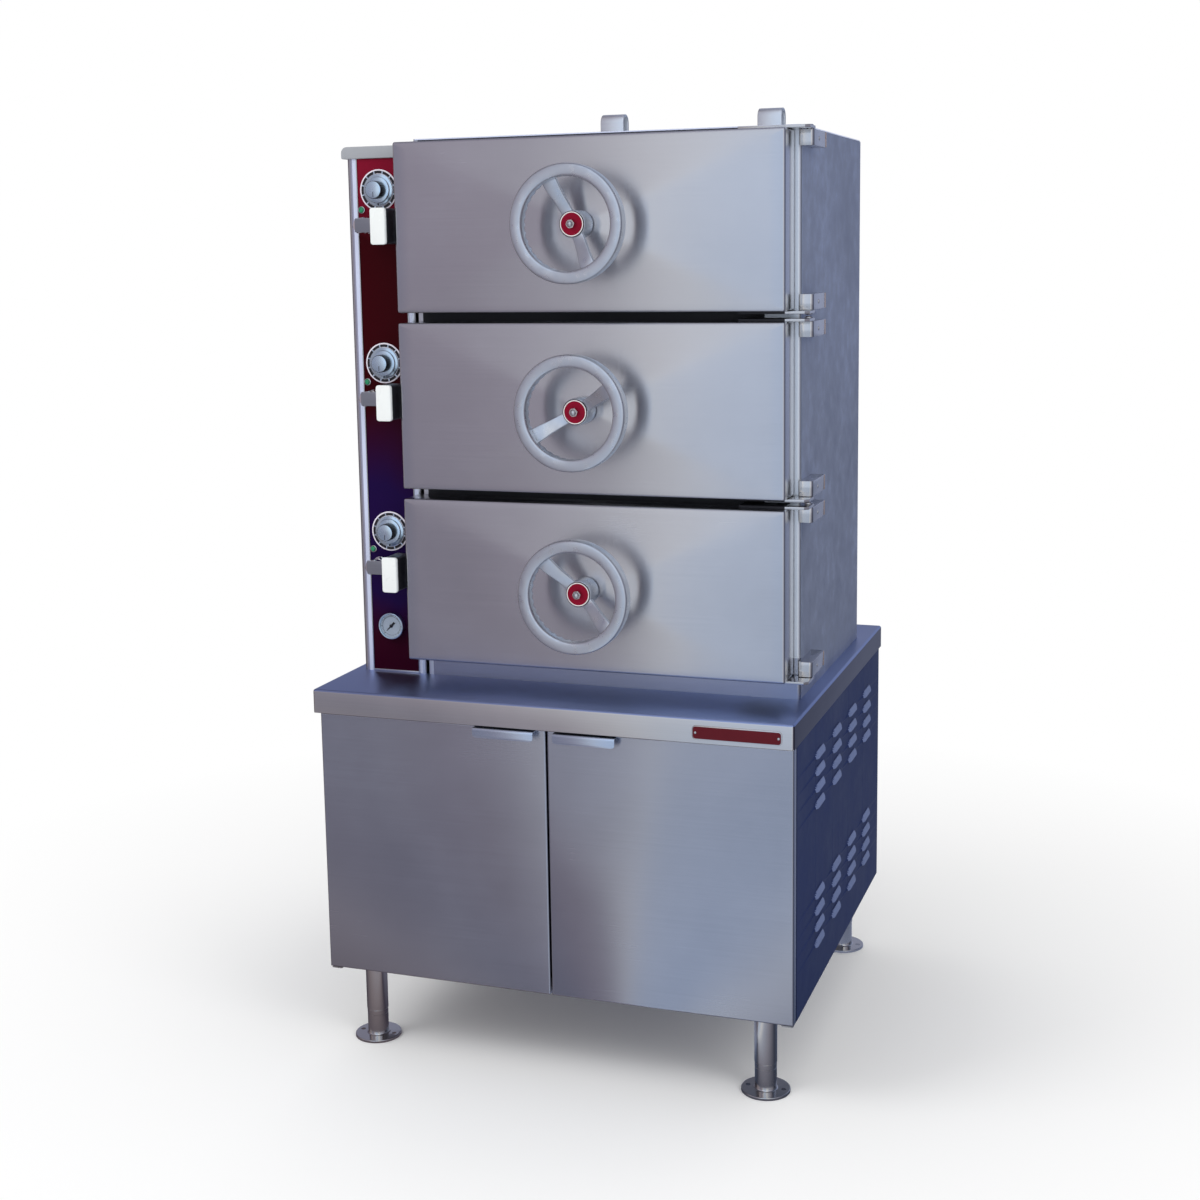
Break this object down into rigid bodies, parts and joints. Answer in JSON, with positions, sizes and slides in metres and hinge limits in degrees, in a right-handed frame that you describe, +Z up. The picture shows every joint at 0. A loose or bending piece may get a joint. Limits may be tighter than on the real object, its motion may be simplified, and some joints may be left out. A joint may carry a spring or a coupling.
{
  "type": "pressure steamer",
  "caption": "Free-standing steamer cabinet with stacked handwheel doors on a louvred base, a control column at the left and flanged legs.",
  "frame": {"origin": "floor level, at the centre of the whole outline seen from above, from the cabinet doors' pulls to the pipe ends", "axes": "+Z up, the doors face -Y, +X is to the right seen from the front"},
  "size_m": [0.916, 0.88, 1.778],
  "materials": {
    "door_steel": "brushed",
    "hinge_steel": "satin",
    "plate_steel": "satin",
    "gasket_rubber": "matte",
    "wheel_aluminium": "satin",
    "bright_steel": "polished",
    "grip_plastic": "gloss",
    "knob_plastic": "satin",
    "vessel_steel": "satin",
    "inner_steel": "mill",
    "side_paint": "satin",
    "plate_red": "gloss",
    "boiler_paint": "satin",
    "pipe_brass": "satin",
    "wool": "matte",
    "cap_paint": "satin",
    "panel_red": "gloss",
    "lamp_green": "gloss",
    "gauge_chrome": "polished"
  },
  "bodies": {
    "root": {"foot_flanges": "bright_steel", "leg_tubes": "bright_steel", "base_floor": "inner_steel", "corner_posts": "inner_steel", "side_panel_left": "side_paint", "side_panel_right": "side_paint", "base_back_panel": "inner_steel", "deck": "door_steel", "nameplate": "plate_red", "boiler": "boiler_paint", "heater_unit": "inner_steel", "steam_piping": "pipe_brass", "service_pipes": "pipe_brass", "front_frame": "door_steel", "housing_right": "door_steel", "housing_left": "door_steel", "housing_top": "door_steel", "housing_back": "inner_steel", "insulation_blankets": "wool", "lifting_straps": "bright_steel", "hinge_blocks": "hinge_steel", "column_shell": "door_steel", "column_cap": "cap_paint", "control_panel": "panel_red", "indicator_lamps": "lamp_green", "timer_bodies": "knob_plastic", "gauge_body": "gauge_chrome", "compartment_bottom": "vessel_steel", "compartment_middle": "vessel_steel", "compartment_top": "vessel_steel"},
    "door_bottom": {"door_skin_bottom": "door_steel", "door_strongback_bottom": "hinge_steel"},
    "plate_bottom": {"pressure_plate_bottom": "plate_steel", "door_gasket_bottom": "gasket_rubber"},
    "wheel_bottom": {"handwheel_bottom": "wheel_aluminium", "spindle_bottom": "bright_steel"},
    "lever_bottom": {"steam_lever_bottom": "bright_steel", "lever_grip_bottom": "grip_plastic"},
    "knob_bottom": {"timer_knob_bottom": "knob_plastic"},
    "door_middle": {"door_skin_middle": "door_steel", "door_strongback_middle": "hinge_steel"},
    "plate_middle": {"pressure_plate_middle": "plate_steel", "door_gasket_middle": "gasket_rubber"},
    "wheel_middle": {"handwheel_middle": "wheel_aluminium", "spindle_middle": "bright_steel"},
    "lever_middle": {"steam_lever_middle": "bright_steel", "lever_grip_middle": "grip_plastic"},
    "knob_middle": {"timer_knob_middle": "knob_plastic"},
    "door_top": {"door_skin_top": "door_steel", "door_strongback_top": "hinge_steel"},
    "plate_top": {"pressure_plate_top": "plate_steel", "door_gasket_top": "gasket_rubber"},
    "wheel_top": {"handwheel_top": "wheel_aluminium", "spindle_top": "bright_steel"},
    "lever_top": {"steam_lever_top": "bright_steel", "lever_grip_top": "grip_plastic"},
    "knob_top": {"timer_knob_top": "knob_plastic"},
    "base_door_left_body": {"base_door_left": "door_steel"},
    "base_door_right_body": {"base_door_right": "door_steel"},
    "needle": {"gauge_needle": "knob_plastic"}
  },
  "joints": [
    {"name": "door_bottom_swing", "type": "hinge", "parent": "root", "child": "door_bottom", "pos_m": [0.443, -0.272, 0.9025], "axis": [0, 0, 1], "range_deg": [0, 170]},
    {"name": "wheel_bottom_turn", "type": "hinge", "parent": "door_bottom", "child": "wheel_bottom", "pos_m": [0.0575, -0.396, 0.9025], "axis": [0, -1, 0], "range_deg": [0, 720]},
    {"name": "plate_bottom_float", "type": "slide", "parent": "door_bottom", "child": "plate_bottom", "axis": [0, -1, 0], "range_m": [0, 0.012]},
    {"name": "lever_bottom_turn", "type": "hinge", "parent": "root", "child": "lever_bottom", "pos_m": [-0.39, -0.269, 0.9155], "axis": [0, 1, 0], "range_deg": [0, 90]},
    {"name": "timer_bottom_turn", "type": "hinge", "parent": "root", "child": "knob_bottom", "pos_m": [-0.368, -0.269, 0.98], "axis": [0, 1, 0], "range_deg": [0, 330]},
    {"name": "door_middle_swing", "type": "hinge", "parent": "root", "child": "door_middle", "pos_m": [0.443, -0.272, 1.2255], "axis": [0, 0, 1], "range_deg": [0, 170]},
    {"name": "wheel_middle_turn", "type": "hinge", "parent": "door_middle", "child": "wheel_middle", "pos_m": [0.0575, -0.396, 1.2255], "axis": [0, -1, 0], "range_deg": [0, 720]},
    {"name": "plate_middle_float", "type": "slide", "parent": "door_middle", "child": "plate_middle", "axis": [0, -1, 0], "range_m": [0, 0.012]},
    {"name": "lever_middle_turn", "type": "hinge", "parent": "root", "child": "lever_middle", "pos_m": [-0.39, -0.269, 1.2355], "axis": [0, 1, 0], "range_deg": [0, 90]},
    {"name": "timer_middle_turn", "type": "hinge", "parent": "root", "child": "knob_middle", "pos_m": [-0.368, -0.269, 1.3], "axis": [0, 1, 0], "range_deg": [0, 330]},
    {"name": "door_top_swing", "type": "hinge", "parent": "root", "child": "door_top", "pos_m": [0.443, -0.272, 1.5485], "axis": [0, 0, 1], "range_deg": [0, 170]},
    {"name": "wheel_top_turn", "type": "hinge", "parent": "door_top", "child": "wheel_top", "pos_m": [0.0575, -0.396, 1.5485], "axis": [0, -1, 0], "range_deg": [0, 720]},
    {"name": "plate_top_float", "type": "slide", "parent": "door_top", "child": "plate_top", "axis": [0, -1, 0], "range_m": [0, 0.012]},
    {"name": "lever_top_turn", "type": "hinge", "parent": "root", "child": "lever_top", "pos_m": [-0.39, -0.269, 1.5555], "axis": [0, 1, 0], "range_deg": [0, 90]},
    {"name": "timer_top_turn", "type": "hinge", "parent": "root", "child": "knob_top", "pos_m": [-0.368, -0.269, 1.62], "axis": [0, 1, 0], "range_deg": [0, 330]},
    {"name": "base_door_left_swing", "type": "hinge", "parent": "root", "child": "base_door_left_body", "pos_m": [-0.446, -0.404, 0.406], "axis": [0, 0, -1], "range_deg": [0, 105]},
    {"name": "base_door_right_swing", "type": "hinge", "parent": "root", "child": "base_door_right_body", "pos_m": [0.446, -0.404, 0.406], "axis": [0, 0, 1], "range_deg": [0, 105]},
    {"name": "needle_sweep", "type": "hinge", "parent": "root", "child": "needle", "pos_m": [-0.368, -0.283, 0.797], "axis": [0, 1, 0], "range_deg": [0, 270], "stiffness_Nm_per_rad": 0.0005}
  ],
  "couplings": [
    {"joint": "plate_bottom_float", "follows": "wheel_bottom_turn", "m_per_rad": 0.000954},
    {"joint": "plate_middle_float", "follows": "wheel_middle_turn", "m_per_rad": 0.000954},
    {"joint": "plate_top_float", "follows": "wheel_top_turn", "m_per_rad": 0.000954}
  ]
}
